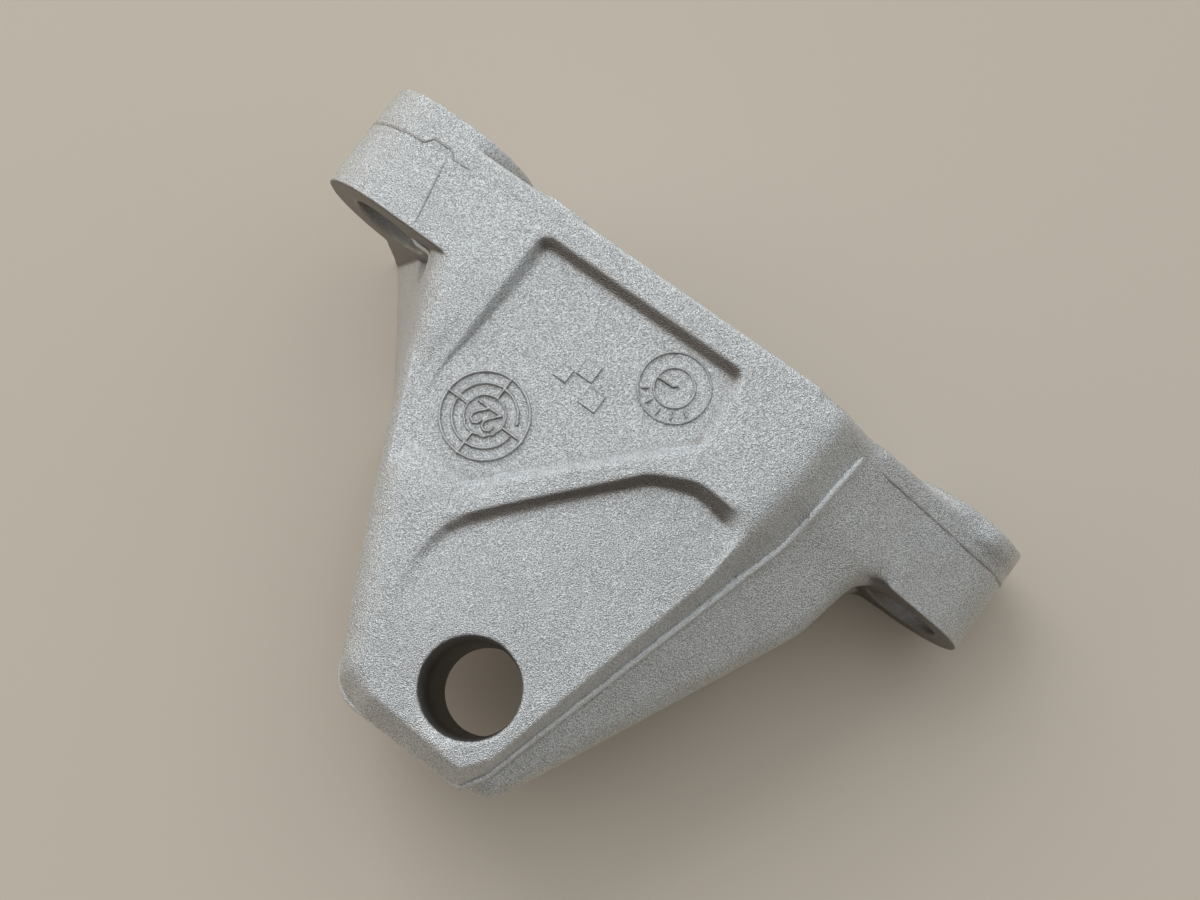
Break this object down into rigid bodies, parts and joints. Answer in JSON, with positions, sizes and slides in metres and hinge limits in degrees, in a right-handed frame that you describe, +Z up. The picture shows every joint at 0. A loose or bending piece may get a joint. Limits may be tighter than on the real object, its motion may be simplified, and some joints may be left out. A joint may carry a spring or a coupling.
{
  "type": "fuel pump bracket",
  "caption": "Die-cast aluminium bracket: a tapering body with a bolt lug at each end of its mounting side, a shallow recess in its face and a plain bore through its tip.",
  "frame": {"origin": "axis of the upper bolt hole, at the mounting plane (the faces of the raised pads)", "axes": "+X along the mounting side towards the lower bolt hole, +Y out of the mounting plane towards what the bracket is bolted to, +Z up, along the tip bore and square to the plate face"},
  "size_m": [0.089, 0.0582, 0.028],
  "materials": {
    "cast_aluminium": "shot-blasted die casting, fine grain, darker in the rounded edges"
  },
  "bodies": {
    "root": {"pump_bracket": "cast_aluminium"}
  },
  "joints": []
}
